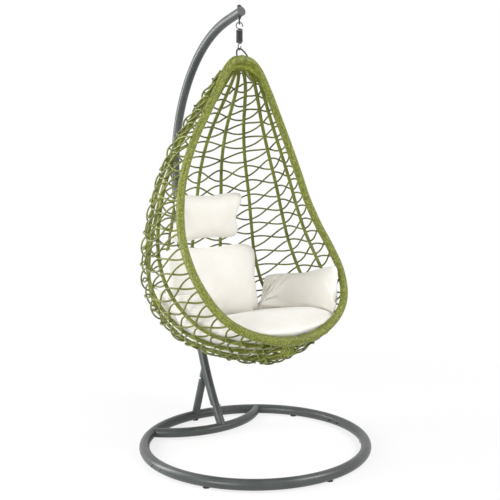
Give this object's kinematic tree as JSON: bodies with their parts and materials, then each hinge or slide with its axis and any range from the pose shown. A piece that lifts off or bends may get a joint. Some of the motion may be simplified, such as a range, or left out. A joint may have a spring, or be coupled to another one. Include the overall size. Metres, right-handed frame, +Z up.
{
  "type": "hanging egg chair",
  "caption": "Olive woven egg-shaped hanging chair with cream cushions, hung by a spring from a dark bowed pole on a round base ring.",
  "frame": {"origin": "on the floor, in the middle of the stand's footprint", "axes": "+Z up, the basket's mouth faces -Y, the pole stands at +Y, +X is the sitter's left"},
  "size_m": [1.0558, 1.203, 1.9905],
  "materials": {
    "stand_steel": "satin",
    "black_steel": "satin",
    "bright_steel": "satin",
    "black_plastic": "matte",
    "rattan": "satin",
    "strand": "satin",
    "cushion_cloth": "matte"
  },
  "bodies": {
    "stand": {"ring_front_half": "stand_steel", "ring_rear_half": "stand_steel", "ring_sleeves": "stand_steel", "ring_bolts": "black_steel", "ring_glides": "black_plastic", "crossbar": "stand_steel", "pole_spigot": "stand_steel", "foot_bolt": "bright_steel", "lower_pole": "stand_steel", "pole_sleeve": "stand_steel", "pole_joint_bolts": "bright_steel", "upper_pole": "stand_steel", "rear_leg": "stand_steel", "rear_leg_stub": "stand_steel", "rear_leg_bolt": "bright_steel", "arm_end_cap": "black_plastic", "arm_saddles": "black_steel"},
    "eye": {"eye_bolt": "black_steel", "eye_nut": "black_steel"},
    "spring": {"spring_top_hook": "black_steel", "spring_coil": "black_steel"},
    "basket": {"spring_bottom_hook": "black_steel", "bail": "black_steel", "rim_core": "stand_steel", "rim_wrap_left": "rattan", "rim_wrap_right": "rattan", "top_cap": "rattan", "tie_hoop": "black_steel", "rib_1": "rattan", "rib_2": "rattan", "rib_3": "rattan", "rib_4": "rattan", "rib_5": "rattan", "rib_6": "rattan", "rib_7": "rattan", "rib_8": "rattan", "rib_9": "rattan", "weave_left_front": "strand", "weave_left_back": "strand", "weave_back": "strand", "weave_right_back": "strand", "weave_right_front": "strand", "bottom_pad": "rattan", "seat_cushion": "cushion_cloth", "back_cushion": "cushion_cloth", "head_pillow": "cushion_cloth", "arm_pillow_left": "cushion_cloth", "arm_pillow_right": "cushion_cloth"}
  },
  "joints": [
    {"name": "swivel", "type": "hinge", "parent": "stand", "child": "eye", "pos_m": [0, 0.02261, 1.93], "axis": [0, 0, 1], "range_deg": [-35, 35]},
    {"name": "swing", "type": "hinge", "parent": "eye", "child": "spring", "pos_m": [0, 0.02261, 1.90411], "axis": [-0.9962, -0.0872, 0], "range_deg": [-1, 12]},
    {"name": "bounce", "type": "slide", "parent": "spring", "child": "basket", "axis": [0, 0, 1], "range_m": [-0.03, 0], "stiffness_N_per_m": 9000, "springref_m": 0.04, "deforming": ["spring_coil"]}
  ]
}
